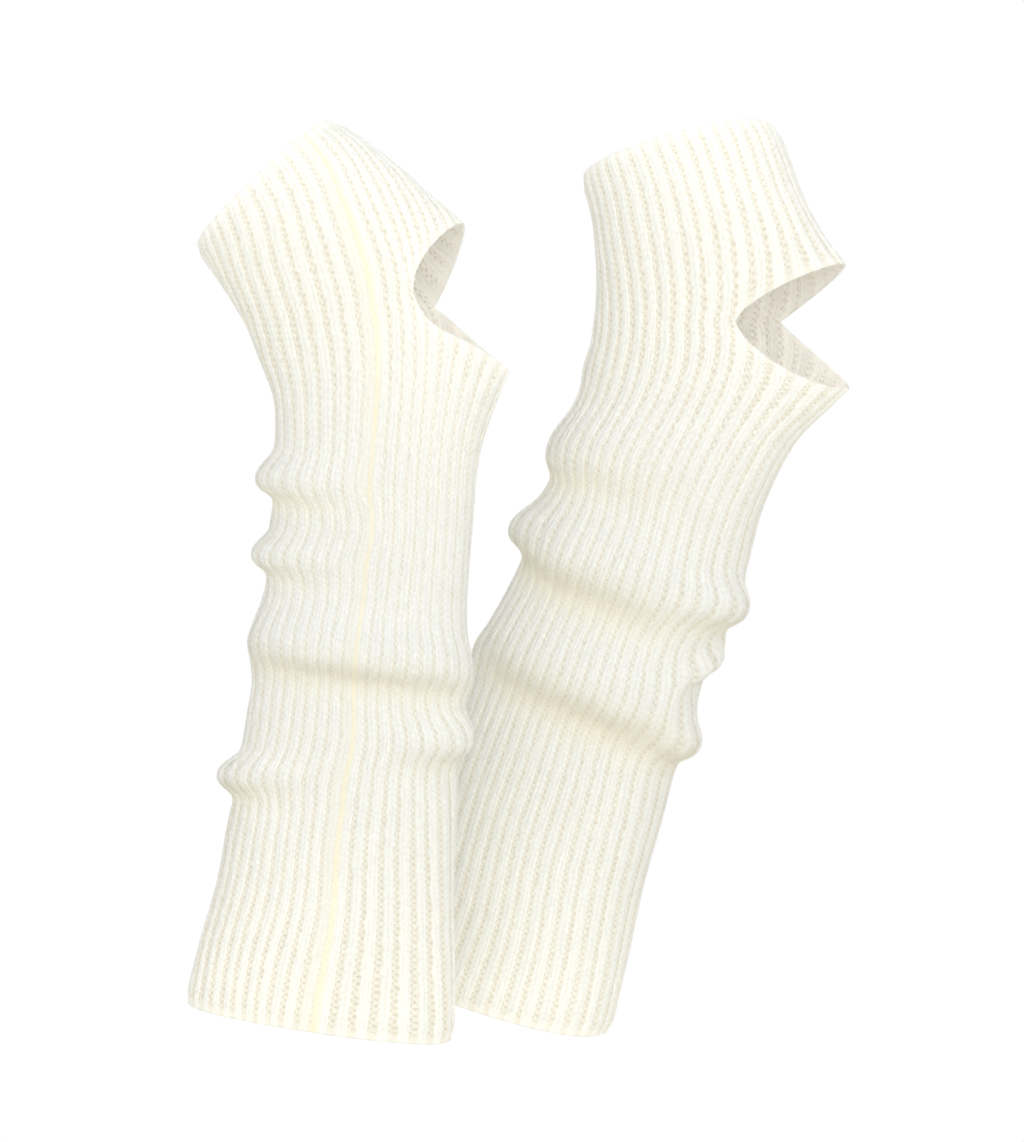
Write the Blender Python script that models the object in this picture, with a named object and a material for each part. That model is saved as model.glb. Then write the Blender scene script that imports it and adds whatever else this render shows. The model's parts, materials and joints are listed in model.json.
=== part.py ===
"""A pair of ribbed stirrup leg warmers, filled out as when worn, with the feet upwards.

Each warmer is a knitted tube with a slit across the back of the ankle for the heel. The leg tube and
the foot tube meet across the instep, and the slit opens between them behind it.
Metres, +Z up, +X to the viewer's right, +Y away from the viewer. The origin is inside the left leg.
"""

from collections import namedtuple

import bmesh
import bpy
import numpy as np

MM = 0.001

# Driving sizes of the knit, in millimetres.
WALL = 1.6
RIB_HEIGHT = 1.5
RIBS_ROUND = 36
INNER_SHARE = 3
SEAM_GAP = 0.3
FLATTEN_POWER = 2.25

# How far round the slit goes, and how far along each tube its pull reaches.
SLIT_HALF_DEG = 65
LEG_SLIT_REACH = 70
FOOT_SLIT_REACH = 46

# How much closer the rings stand at a fold than elsewhere, over how many half lengths of the fold,
# how sharp a fold's ridge is, and how far it hangs over for each millimetre of height.
FOLD_CROWDING = 1.5
CROWDING_REACH = 1.6
RIDGE_SHARPNESS = 1.4
FOLD_DROOP = 0.35

# The crease under each fold: its share of the fold's height, and how many half lengths below it lies.
CREASE_SHARE = 0.25
CREASE_BELOW = 1.6

LEG_RINGS = 33
FOOT_RINGS = 9

# How finely lengths and girths are measured before the rings and ribs are spaced along them.
LENGTH_SAMPLES = 600
GIRTH_SAMPLES = 721

RIGHT_WARMER_BEHIND = 80

CREAM_KNIT = (0.87, 0.85, 0.78, 1.0)
KNIT_ROUGHNESS = 0.95

# One section of a tube, in the plane that the viewer sees: its front (shin or instep) edge, its back
# (calf or sole) edge, its size from near to far, how far its near side is raised, and where the
# lengthwise seam runs (0 at the back edge, 90 nearest the viewer, 180 at the front edge).
Section = namedtuple("Section", "front_x front_z back_x back_z depth near_rise seam_deg")

# One fold: distance along the tube, middle and half width in degrees round it, height,
# half length along the tube, and how much further along it lies for each radian round it.
Fold = namedtuple("Fold", "along middle_deg half_deg height half_length slant")

# The heel slit: where its corners show on average, how much nearer the heel is than the shin, how
# far the near side is moved to the left, and how far the two lips bow up along the tube on the near
# and on the far side.
Slit = namedtuple(
    "Slit", "corner_x corner_z heel_nearer near_left leg_near leg_far foot_near foot_far"
)

LEFT_LEG = [
    Section(-97, -168, 54, -190, 88, -1, 91),
    Section(-88, -134, 54, -152, 84, 0, 91),
    Section(-79, -101, 54, -115, 78, 0, 91),
    Section(-72, -63, 55, -75, 72, 0, 91),
    Section(-65, -25, 57, -36, 68, 0, 90),
    Section(-60, 6, 60, -3, 64, 0, 89),
    Section(-55, 34, 61, 27, 62, 0, 88),
    Section(-52, 62, 61, 58, 60, 0, 87),
    Section(-49, 101, 64, 99, 60, 0, 87),
    Section(-46, 143, 69, 142, 64, 0, 87),
    Section(-47, 168, 76, 163, 70, 0, 87),
    Section(-54, 187, 85, 184, 76, 0, 86),
]
LEFT_FOOT = [
    Section(-54, 187, 59.6, 267, 76, 0, 86),
    Section(-62, 208, 45, 279, 86, 0, 80),
    Section(-72, 226, 27, 295, 92, 1, 71),
    Section(-82, 240, 7, 311, 94, 1, 61),
    Section(-91, 252, -13, 325, 94, 1, 52),
]
LEFT_FOLDS = [
    Fold(136, 165, 70, 11, 13, -2),
    Fold(166, 15, 60, 6, 9, -4),
    Fold(209, 90, 150, 6.5, 12, 5),
    Fold(206, 172, 50, 4, 13, 0),
    Fold(263, 165, 60, 9, 11, 4),
    Fold(304, 160, 78, 12, 12, 6),
]
LEFT_SLIT = Slit(37, 219, 4, 4, -5, 2, 8, 0)

RIGHT_LEG = [
    Section(14, -157, 141, -195, 84, -1, 262),
    Section(27, -118, 150, -154, 80, 0, 262),
    Section(39, -72, 161, -106, 76, 0, 262),
    Section(50, -34, 172, -66, 72, 0, 262),
    Section(62, 3, 183, -27, 70, 0, 262),
    Section(71, 29, 191, 2, 68, 0, 262),
    Section(84, 55, 205, 32, 68, 0, 262),
    Section(96, 84, 217, 67, 68, 0, 262),
    Section(112, 125, 230, 112, 70, 0, 262),
    Section(123, 160, 249, 148, 74, 0, 262),
    Section(130, 186, 267, 165, 80, 0, 262),
    Section(135, 207, 280, 177, 84, 0, 262),
]
RIGHT_FOOT = [
    Section(135, 207, 277.4, 250, 84, 0, 262),
    Section(138, 230, 264, 268, 92, 1, 262),
    Section(138, 254, 253, 288, 98, 2, 262),
    Section(135, 278, 245, 310, 100, 3, 262),
    Section(129, 298, 238, 330, 100, 3, 262),
]
RIGHT_FOLDS = [
    Fold(178, 0, 45, 7, 10, 0),
    Fold(191, 60, 120, 10, 15, 11),
    Fold(196, 165, 40, 4, 14, 0),
    Fold(219, 5, 40, 8, 8, -25),
    Fold(262, 100, 130, 10, 14, 15),
    Fold(258, 5, 45, 9, 11, 0),
    Fold(286, 170, 45, 9, 11, 0),
    Fold(332, 160, 100, 9, 14, 5),
    Fold(380, 165, 60, 4, 8, 2),
]
RIGHT_SLIT = Slit(233, 218, 16, 17, -10, -5, 8, 1)


def section_marks(table):
    """How far along the tube each section lies, measured through the middles of the sections."""
    middles = np.column_stack([table[:, 0] + table[:, 2], table[:, 1] + table[:, 3]]) / 2
    steps = np.linalg.norm(np.diff(middles, axis=0), axis=1)
    return np.concatenate([[0], np.cumsum(steps)])


def smooth_rows(table, marks):
    """The sections' values at each mark along the tube, on one smooth curve through them."""
    knots = section_marks(table)
    slopes = np.gradient(table, knots, axis=0)
    where = np.clip(np.searchsorted(knots, marks, side="right") - 1, 0, len(knots) - 2)
    span = (knots[where + 1] - knots[where])[:, None]
    t = (marks[:, None] - knots[where][:, None]) / span
    before, after = table[where], table[where + 1]
    return (
        before * (2 * t**3 - 3 * t**2 + 1)
        + slopes[where] * span * (t**3 - 2 * t**2 + t)
        + after * (3 * t**2 - 2 * t**3)
        + slopes[where + 1] * span * (t**3 - t**2)
    )


def ring_marks(length, folds, count):
    """Distances along the tube for the rings, closer together at the folds."""
    fine = np.linspace(0, length, LENGTH_SAMPLES)
    crowding = np.ones_like(fine)
    for fold in folds:
        near = np.exp(-(((fine - fold.along) / (CROWDING_REACH * fold.half_length)) ** 2))
        crowding = np.maximum(crowding, 1 + FOLD_CROWDING * near)
    passed = np.concatenate([[0], np.cumsum((crowding[1:] + crowding[:-1]) / 2)])
    return np.interp(np.linspace(0, passed[-1], count + 1), passed, fine)


def section_shape(angle):
    """A rounded section a little flatter than an ellipse, as wide and as deep as 1."""
    power = 2 / FLATTEN_POWER
    across = np.sign(np.cos(angle)) * np.abs(np.cos(angle)) ** power
    towards = np.sign(np.sin(angle)) * np.abs(np.sin(angle)) ** power
    return across, towards


def ring_angles(half_width, half_depth, seam_deg, count):
    """Angles of points spaced evenly round one section, the first one at the seam."""
    fine = np.linspace(0, 2 * np.pi, GIRTH_SAMPLES)
    across, towards = section_shape(fine)
    steps = np.hypot(np.diff(across * half_width), np.diff(towards * half_depth))
    passed = np.concatenate([[0], np.cumsum(steps)])
    start = np.interp(np.radians(seam_deg), fine, passed)
    wanted = (start + passed[-1] * np.arange(count) / count) % passed[-1]
    return np.interp(wanted, passed, fine)


def angle_apart(angle, middle):
    return (angle - middle + np.pi) % (2 * np.pi) - np.pi


def fold_height(mark, angle, folds):
    """How far the folds push the cloth out, at each angle of one ring."""
    height = np.zeros_like(angle)
    for fold in folds:
        apart = angle_apart(angle, np.radians(fold.middle_deg))
        reach = np.clip(np.abs(apart) / np.radians(fold.half_deg), 0, 1)
        along = (mark - fold.along - fold.slant * apart) / fold.half_length
        ridge = np.exp(-RIDGE_SHARPNESS * along**2)
        crease = CREASE_SHARE * np.exp(-RIDGE_SHARPNESS * (along + CREASE_BELOW) ** 2)
        height += fold.height * np.cos(reach * np.pi / 2) ** 2 * (ridge - crease)
    return height


def lip_bow(angle, near_bow, far_bow):
    """How far a lip of the slit bows along the tube, from nothing at its corners."""
    turned = angle_apart(angle, 0)
    bow = np.where(turned > 0, near_bow, far_bow)
    inside = np.clip(np.abs(turned) / np.radians(SLIT_HALF_DEG), 0, 1)
    return bow * np.sin(np.pi * inside)


def ring_points(row, mark, angle, out, fade, bows, slit, folds, gap, behind):
    """World points of one ring, in millimetres; out is how far they stand off the section."""
    front = np.array([row.front_x, 0, row.front_z])
    back = np.array([row.back_x, 0, row.back_z])
    width = np.linalg.norm(back - front)
    along = np.array([front[2] - back[2], 0, back[0] - front[0]]) / width
    near = np.array([0, -1, 0])
    across, towards = section_shape(angle)
    place = (1 + across) / 2
    corner_place = (1 + section_shape(np.radians(SLIT_HALF_DEG))[0]) / 2
    corner = np.array([slit.corner_x, 0, slit.corner_z])
    pull = fade * (corner - front - corner_place * (back - front))
    bend = np.minimum(place / corner_place, (1 - place) / (1 - corner_place))
    line = front + np.outer(place, back - front) + np.outer(bend, pull)
    side = back - front + pull / corner_place
    side /= np.linalg.norm(side)
    steep = FLATTEN_POWER - 1
    out_side = (np.sign(across) * np.abs(across) ** steep / (width / 2))[:, None]
    out_near = (np.sign(towards) * np.abs(towards) ** steep / (row.depth / 2))[:, None]
    outward = (out_side * side + out_near * near) / np.hypot(out_side, out_near)
    fold = fold_height(mark, angle, folds)
    depth = towards * row.depth / 2 + slit.heel_nearer * across - behind
    rise = fade * lip_bow(angle, *bows) + towards * row.near_rise - FOLD_DROOP * fold + gap
    points = line + np.outer(depth, near) + (out + fold)[:, None] * outward + np.outer(rise, along)
    points[:, 0] -= slit.near_left * towards
    return points


def tube_rings(sections, folds, ring_count, slit, bows, slit_end, reach, behind):
    """The outer and inner rings of one tube, from its first section to its last.

    slit_end is 0 where the heel slit is at the first section, and 1 where it is at the last.
    """
    table = np.array(sections, dtype=float)
    length = section_marks(table)[-1]
    marks = ring_marks(length, folds, ring_count)
    rib = np.tile([-RIB_HEIGHT, 0.0], RIBS_ROUND)
    wall = np.full(len(rib) // INNER_SHARE, -RIB_HEIGHT - WALL)
    outer, inner = [], []
    rows = [Section(*row) for row in smooth_rows(table, marks)]
    gaps = np.zeros(len(rows))
    gaps[-slit_end] = (0.5 - slit_end) * SEAM_GAP
    for mark, row, gap in zip(marks, rows, gaps):
        to_slit = abs(slit_end * length - mark)
        fade = np.clip(1 - to_slit / reach, 0, 1) ** 2
        width = np.hypot(row.back_x - row.front_x, row.back_z - row.front_z)
        angle = ring_angles(width / 2, row.depth / 2, row.seam_deg, len(rib))
        rest = (fade, bows, slit, folds, gap, behind)
        outer.append(ring_points(row, mark, angle, rib, *rest))
        inner.append(ring_points(row, mark, angle[::INNER_SHARE], wall, *rest))
    return outer, inner


def build_tube(name, outer, inner, material):
    """One closed wall: the outer rings, the inner rings, and a rim at each end."""
    mesh = bmesh.new()
    outside = [[mesh.verts.new(p * MM) for p in ring] for ring in outer]
    inside = [[mesh.verts.new(p * MM) for p in ring] for ring in inner]
    for rings in (outside, inside):
        count = len(rings[0])
        for low, high in zip(rings, rings[1:]):
            for i in range(count):
                j = (i + 1) % count
                mesh.faces.new((low[i], low[j], high[j], high[i]))
    for big, small in ((outside[0], inside[0]), (outside[-1], inside[-1])):
        each = len(big) // len(small)
        for i, corner in enumerate(small):
            after = small[(i + 1) % len(small)]
            for k in range(each):
                first = big[(i * each + k) % len(big)]
                second = big[(i * each + k + 1) % len(big)]
                mesh.faces.new((corner if k < each - 1 else after, first, second))
            last = big[(i * each + each - 1) % len(big)]
            mesh.faces.new((corner, last, after))
    bmesh.ops.recalc_face_normals(mesh, faces=mesh.faces)
    if mesh.calc_volume(signed=True) < 0:
        bmesh.ops.reverse_faces(mesh, faces=mesh.faces)
    bmesh.ops.triangulate(mesh, faces=[f for f in mesh.faces if len(f.verts) > 3])
    data = bpy.data.meshes.new(name)
    mesh.to_mesh(data)
    mesh.free()
    data.materials.append(material)
    tube = bpy.data.objects.new(name, data)
    bpy.context.scene.collection.objects.link(tube)
    return tube


def knit_material(name):
    material = bpy.data.materials.new(name)
    material.use_nodes = True
    shader = material.node_tree.nodes["Principled BSDF"]
    shader.inputs["Base Color"].default_value = CREAM_KNIT
    shader.inputs["Roughness"].default_value = KNIT_ROUGHNESS
    return material


def build_warmer(side, leg, foot, folds, slit, behind):
    leg_bows = (slit.leg_near, slit.leg_far)
    foot_bows = (slit.foot_near, slit.foot_far)
    rings = tube_rings(leg, folds, LEG_RINGS, slit, leg_bows, 1, LEG_SLIT_REACH, behind)
    build_tube(side + "_leg", *rings, knit_material(side + "_leg_rib_knit"))
    rings = tube_rings(foot, [], FOOT_RINGS, slit, foot_bows, 0, FOOT_SLIT_REACH, behind)
    build_tube(side + "_foot", *rings, knit_material(side + "_foot_rib_knit"))


for old in list(bpy.data.objects):
    bpy.data.objects.remove(old)

build_warmer("left", LEFT_LEG, LEFT_FOOT, LEFT_FOLDS, LEFT_SLIT, 0)
build_warmer("right", RIGHT_LEG, RIGHT_FOOT, RIGHT_FOLDS, RIGHT_SLIT, RIGHT_WARMER_BEHIND)
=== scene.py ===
# %% [markdown]
# A pair of stirrup leg warmers: two long tubes of thick cream rib knit, shown as they sit on a leg,
# with the feet up and the cuffs down. Each is knitted as one tube. A slit across the back of the
# ankle lets the heel out, and the band beyond it goes round the foot.
#
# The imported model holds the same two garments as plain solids. Here each one is knitted again as one
# thin shell with its ribs, stitches, rolled edges and creases, and takes the place of its solids.

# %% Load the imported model
import json
from collections import namedtuple

import bpy
import numpy as np
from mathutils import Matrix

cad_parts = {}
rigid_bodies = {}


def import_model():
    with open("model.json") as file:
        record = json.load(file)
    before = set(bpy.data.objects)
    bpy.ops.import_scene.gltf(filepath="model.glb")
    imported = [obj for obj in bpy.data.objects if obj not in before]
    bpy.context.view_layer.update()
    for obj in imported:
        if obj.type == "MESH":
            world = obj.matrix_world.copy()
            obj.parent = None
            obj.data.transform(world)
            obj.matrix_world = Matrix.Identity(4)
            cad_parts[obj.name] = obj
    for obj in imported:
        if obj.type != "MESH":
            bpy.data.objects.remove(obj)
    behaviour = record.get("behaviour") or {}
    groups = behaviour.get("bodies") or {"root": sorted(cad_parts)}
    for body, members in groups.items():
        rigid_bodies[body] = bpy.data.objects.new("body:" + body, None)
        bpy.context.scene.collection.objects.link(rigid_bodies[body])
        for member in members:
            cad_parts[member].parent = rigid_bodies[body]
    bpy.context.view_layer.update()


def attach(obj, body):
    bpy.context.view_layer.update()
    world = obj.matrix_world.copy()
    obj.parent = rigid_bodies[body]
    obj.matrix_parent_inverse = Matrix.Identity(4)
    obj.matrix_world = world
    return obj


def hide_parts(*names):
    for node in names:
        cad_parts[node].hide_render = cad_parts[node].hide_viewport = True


for old in list(bpy.data.objects):
    bpy.data.objects.remove(old)
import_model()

# %% [markdown]
# The camera comes first, because every size below was read with it. It looks level along +Y from
# 2.2 m away, as a product photographer does with a long lens, so the tubes keep their proportions.
# The image is 1024 by 1142 pixels, and one pixel covers 0.56 mm at the left warmer.

# %% Camera
MM = 0.001
PIXEL = 0.56 * MM
IMAGE_HEIGHT = 1142
CAMERA_AWAY = 2.2
SENSOR = 36
PICTURE_MIDDLE_X = 0.08624
PICTURE_MIDDLE_Z = 0.07224

camera_data = bpy.data.cameras.new("product camera")
camera_data.sensor_width = SENSOR
camera_data.lens = SENSOR * CAMERA_AWAY / (PIXEL * IMAGE_HEIGHT)
camera = bpy.data.objects.new("product camera", camera_data)
camera.location = (PICTURE_MIDDLE_X, -CAMERA_AWAY, PICTURE_MIDDLE_Z)
camera.rotation_euler = (np.pi / 2, 0, 0)
bpy.context.scene.collection.objects.link(camera)
bpy.context.scene.camera = camera
print("lens:", round(camera_data.lens, 1), "mm")

# %% [markdown]
# Knit is counted, not measured: so many ribs round, so many rows of stitches along. Each rib here is
# two columns of smooth knit stitches that stand up, and the valley beside it is two columns of purl
# stitches that lie back. The yarn is thick, so a row of stitches is 3.5 mm tall. The ribs keep their
# own width, and it is the valleys that open where the tube is stretched, as in real rib knit.

# %% Sizes of the knit, in millimetres
RIBS_ROUND = 40
POINTS_PER_RIB = 7
ROW_OF_STITCHES = 3.5
CLOTH_THICKNESS = 1.6
RIB_WIDTH = 4.9
COLUMNS = RIBS_ROUND * POINTS_PER_RIB
print("columns of points round each tube:", COLUMNS)

# %% [markdown]
# Each tube is a row of sections. A section is what the viewer sees of one level of the leg: where its
# front (shin or instep) edge and its back (calf or sole) edge are, and how deep it is from near to
# far. Its near side may sit a little higher than its far side, and the lengthwise seam lies at its
# own angle round it. These are the same sections that shape the solids, so the shell lies on them.

# %% Sections of the left warmer
Section = namedtuple("Section", "front_x front_z back_x back_z depth near_rise seam_deg")

LEFT_LEG = [
    Section(-97, -168, 54, -190, 88, -1, 88),
    Section(-88, -134, 54, -152, 84, 0, 88),
    Section(-79, -101, 54, -115, 78, 0, 87),
    Section(-72, -63, 55, -75, 72, 0, 87),
    Section(-65, -25, 57, -36, 68, 0, 87),
    Section(-60, 6, 60, -3, 64, 0, 88),
    Section(-55, 34, 61, 27, 62, 0, 88),
    Section(-52, 62, 61, 58, 60, 0, 87),
    Section(-49, 101, 64, 99, 60, 0, 86),
    Section(-46, 143, 69, 142, 64, 0, 87),
    Section(-47, 168, 76, 163, 70, 0, 87),
    Section(-54, 187, 85, 184, 76, 0, 86),
]
LEFT_FOOT = [
    Section(-54, 187, 59.6, 267, 76, 0, 86),
    Section(-62, 208, 45, 279, 86, 0, 79),
    Section(-72, 226, 27, 295, 92, 0, 69),
    Section(-82, 240, 7, 311, 94, -1, 57),
    Section(-91, 252, -13, 325, 94, -2, 47),
]
print("left sections:", len(LEFT_LEG), "on the leg,", len(LEFT_FOOT), "on the foot")

# %% Sections of the right warmer, which stands behind and leans over
RIGHT_WARMER_BEHIND = 80

RIGHT_LEG = [
    Section(14, -157, 141, -195, 84, -1, 262),
    Section(27, -118, 150, -154, 80, 0, 262),
    Section(39, -72, 161, -106, 76, 0, 262),
    Section(50, -34, 172, -66, 72, 0, 262),
    Section(62, 3, 183, -27, 70, 0, 262),
    Section(71, 29, 191, 2, 68, 0, 262),
    Section(84, 55, 205, 32, 68, 0, 262),
    Section(96, 84, 217, 67, 68, 0, 262),
    Section(112, 125, 230, 112, 70, 0, 262),
    Section(123, 160, 249, 148, 74, 0, 262),
    Section(130, 186, 267, 165, 80, 0, 262),
    Section(135, 207, 280, 177, 84, 0, 262),
]
RIGHT_FOOT = [
    Section(135, 207, 277.4, 250, 84, 0, 262),
    Section(138, 230, 264, 268, 92, 1, 262),
    Section(138, 254, 253, 288, 98, 2, 262),
    Section(135, 278, 245, 310, 100, 3, 262),
    Section(129, 298, 238, 330, 100, 3, 262),
]
print("right sections:", len(RIGHT_LEG), "on the leg,", len(RIGHT_FOOT), "on the foot")

# %% [markdown]
# The warmers are longer than the leg they are on, so they slouch. Each fold is one ridge that runs
# part of the way round, with a crease under it. They are listed one by one, because no two are alike:
# distance along the tube, middle and half width in degrees round it (0 is the back edge, 90 nearest
# the viewer, 180 the front edge), height, half length, slant, and the length of its upper slope as a
# share of the half length. The shallower ones, listed as creases, lie on the side that the camera
# doesn't see, so that the cloth looks worn from there too.

# %% Folds and creases
Fold = namedtuple("Fold", "along middle_deg half_deg height half_length slant above")

LEFT_FOLDS = [
    Fold(135, 165, 75, 12, 10, -2, 0.9),
    Fold(164, 20, 65, 9, 10, -4, 1.2),
    Fold(208, 90, 155, 12, 12, 5, 1.5),
    Fold(203, 172, 50, 3, 13, 0, 1.0),
    Fold(262, 160, 80, 10, 9, 4, 1.0),
    Fold(306, 158, 88, 12, 10, 6, 1.1),
]
RIGHT_FOLDS = [
    Fold(173, 0, 45, 7, 10, 0, 1.0),
    Fold(194, 70, 125, 14, 16, 13, 1.6),
    Fold(196, 165, 40, 4, 14, 0, 1.0),
    Fold(217, 5, 40, 8, 8, -25, 1.0),
    Fold(268, 110, 105, 14, 16, 17, 1.6),
    Fold(250, 8, 62, 11, 10, 2, 1.3),
    Fold(282, 172, 48, 11, 12, 0, 1.0),
    Fold(333, 150, 120, 11, 17, 5, 1.2),
    Fold(380, 165, 60, 4, 8, 2, 1.0),
]
LEFT_CREASES = [
    Fold(152, 262, 55, 6.0, 10, -5, 1.0),
    Fold(236, 250, 60, 6.6, 11, 6, 1.3),
    Fold(282, 296, 50, 4.8, 9, -8, 1.0),
    Fold(194, 318, 42, 3.8, 9, 5, 1.0),
]
RIGHT_CREASES = [
    Fold(160, 244, 60, 6.2, 11, 6, 1.0),
    Fold(226, 234, 50, 5.4, 9, -9, 1.2),
    Fold(262, 290, 55, 5.0, 10, 7, 1.1),
    Fold(318, 262, 60, 6.4, 12, 5, 1.0),
]
print("left folds and creases:", len(LEFT_FOLDS + LEFT_CREASES))
print("right folds and creases:", len(RIGHT_FOLDS + RIGHT_CREASES))

# %% [markdown]
# The heel slit is a cut across the back of the tube. The heel has opened it, so its two lips are
# pulled apart from a corner on each side of the ankle, and bow on their way round the back. The near
# corner isn't quite level with the far one. Bows are in millimetres along the tube, and the lean says
# how close to the corner the leg's lip bows most.

# %% Heel slits
Slit = namedtuple(
    "Slit",
    "corner_x corner_z heel_nearer near_left near_up leg_near leg_far leg_lean foot_near foot_far",
)

SLIT_HALF_DEG = 65
LEG_SLIT_REACH = 70
FOOT_SLIT_REACH = 46
FOOT_LIP_LEAN = 1.0
LEFT_SLIT = Slit(36.5, 225, 4, 4.5, 3, -10.5, 1, 2.0, 6, -1.5)
RIGHT_SLIT = Slit(228.5, 217, 16, 16.3, -2.3, -8, -2, 0.8, 4.5, 0)
print("the slits go", 2 * SLIT_HALF_DEG, "degrees round the back")

# %% [markdown]
# A smooth curve through the sections gives the section at any distance along the tube. A cubic curve
# that passes through every row is enough, and it can't overshoot much, because the rows are close.


# %% Any section between the given ones
def section_marks(table):
    """How far along the tube each section lies, measured through the middles of the sections."""
    middles = np.column_stack([table[:, 0] + table[:, 2], table[:, 1] + table[:, 3]]) / 2
    steps = np.linalg.norm(np.diff(middles, axis=0), axis=1)
    return np.concatenate([[0], np.cumsum(steps)])


def sections_at(table, marks):
    """The sections at the given distances, on a cubic curve through the given ones."""
    knots = section_marks(table)
    slopes = np.gradient(table, knots, axis=0)
    where = np.clip(np.searchsorted(knots, marks, side="right") - 1, 0, len(knots) - 2)
    span = (knots[where + 1] - knots[where])[:, None]
    t = (marks[:, None] - knots[where][:, None]) / span
    curve = (
        table[where] * (2 * t**3 - 3 * t**2 + 1)
        + slopes[where] * span * (t**3 - 2 * t**2 + t)
        + table[where + 1] * (3 * t**2 - 2 * t**3)
        + slopes[where + 1] * span * (t**3 - t**2)
    )
    return [Section(*row) for row in curve]


for name, rows in (("left", LEFT_LEG + LEFT_FOOT[1:]), ("right", RIGHT_LEG + RIGHT_FOOT[1:])):
    print(name, "warmer:", round(section_marks(np.array(rows, dtype=float))[-1]), "mm along its middle")

# %% [markdown]
# A filled tube is a little squarer than an ellipse in its section. The columns of stitches are spaced
# by length round it, starting at the lengthwise seam. On the left warmer the ribs before the seam were
# pulled closer together than the ones after it, which the crowding gives.

# %% The section's shape and where the ribs stand on it
SQUARER_POWER = 2.25
GIRTH_SAMPLES = 1441
LEAST_RIB = 0.46
MOST_RIB = 0.68
VALLEY_SIDE = 0.6
RIB_STRAND = 0.25


def section_shape(angle):
    """Across from front to back, and towards the viewer, each from -1 to 1."""
    power = 2 / SQUARER_POWER
    across = np.sign(np.cos(angle)) * np.abs(np.cos(angle)) ** power
    towards = np.sign(np.sin(angle)) * np.abs(np.sin(angle)) ** power
    return across, towards


def rib_places(girth, crowding):
    """Where each column of points lies, as a share of the way round from the seam."""
    rib = np.clip(RIB_WIDTH * RIBS_ROUND / girth, LEAST_RIB, MOST_RIB)
    valley = (1 - rib) / 2
    strand = valley + RIB_STRAND * rib
    one_rib = np.array([0, VALLEY_SIDE * valley, valley, strand, 0.5, 1 - strand, 1 - valley])
    share = (np.arange(RIBS_ROUND)[:, None] + one_rib).ravel() / RIBS_ROUND
    return share + crowding / (4 * np.pi) * (np.cos(4 * np.pi * share) - 1)


def column_angles(row, crowding, opened_sides):
    """The angle of each column round one section, and the girth of that section."""
    fine = np.linspace(0, 2 * np.pi, GIRTH_SAMPLES)
    across, towards = section_shape(fine)
    half_width = np.hypot(row.back_x - row.front_x, row.back_z - row.front_z) / 2
    sideways = np.abs(np.diff(across * half_width))
    steps = np.hypot(sideways, np.diff(towards * row.depth / 2))
    girth = steps.sum()
    shares = (1 - opened_sides) * steps / girth + opened_sides * sideways / sideways.sum()
    passed = np.concatenate([[0], np.cumsum(shares)])
    start = np.interp(np.radians(row.seam_deg), fine, passed)
    wanted = (start + rib_places(girth, crowding)) % 1
    return np.interp(wanted, passed, fine), girth


print("girth at the left cuff:", round(column_angles(LEFT_LEG[0], 0, 0)[1]), "mm")

# %% [markdown]
# Now the knit itself, as heights above and below the surface. Seven points cross each rib: two in the
# valley, the rib's edge, a knit column, the rib's centre line, the other knit column and the other
# edge. Along the tube there are two rings of points to a row of stitches, one at the fat of the stitch
# and one where the loops pinch, so the stitches are in the shape itself. Where the tube is narrow its
# ribs close up and stand less high. The lengthwise seam is the first rib: a flat strip with a groove
# beside it, where the tube's two edges were linked together. The two open ends are drawn in a little.

# %% Ribs and stitches
RIB_RELIEF = np.array([-1.35, -1.3, -0.7, -0.05, -0.3, -0.05, -0.8])
STITCH_RELIEF = np.array([0.10, 0.35, 0.12, 0.06, 0.0, -0.06, -0.12])
SEAM_RELIEF = np.array([-1.35, -0.8, -0.5, -0.42, -0.5, -0.45, -0.8])
CLOSED_RELIEF = 0.6
EDGE_RELIEF = -0.7
EDGE_CALM = 0.55
RIM_DRAWN_IN = 1.8


def knit_relief(number, ring):
    """Heights of one ring of points, shallower where the ribs are closed and at the edges."""
    fat = 1 if number % 2 == 0 else -1
    depth = CLOSED_RELIEF + (1 - CLOSED_RELIEF) * ring.open
    relief = np.tile(RIB_RELIEF * depth + fat * STITCH_RELIEF, RIBS_ROUND)
    relief[:POINTS_PER_RIB] = SEAM_RELIEF * depth
    return relief + ring.edge * (EDGE_RELIEF - relief) * EDGE_CALM - ring.rim * RIM_DRAWN_IN


print("ribs stand", RIB_RELIEF.max() - RIB_RELIEF.min(), "mm above the valleys")

# %% [markdown]
# A fold pushes the cloth straight out, rounds its ridge by moving its slopes apart, droops a little
# under its own weight, and has a crease below it. It fades to nothing at both ends of its arc.
# Hand-worn cloth is never quite even, so slow waves of a fraction of a millimetre go over it too.

# %% Folds and unevenness as pushes on the cloth
UNEVEN = 0.35
UNEVEN_LENGTHS = (19, 31)
RIDGE_SHARPNESS = 1.4
RIDGE_FLATNESS = 2.3
SLOPE_BELOW = 1.15
CREASE_SHARPNESS = 0.8
CREASE_SHARE = 0.1
CREASE_BELOW = 1.35
ROUNDING = 0.3
FOLD_DROOP = 0.2


def angle_apart(angle, middle):
    return (angle - middle + np.pi) % (2 * np.pi) - np.pi


def fold_place(mark, angle, fold):
    """The share of the fold at each angle, and how far above its ridge each point is."""
    apart = angle_apart(angle, np.radians(fold.middle_deg))
    reach = np.clip(np.abs(apart) / np.radians(fold.half_deg), 0, 1)
    return np.cos(reach * np.pi / 2) ** 2, (mark - fold.along - fold.slant * apart) / fold.half_length


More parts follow.
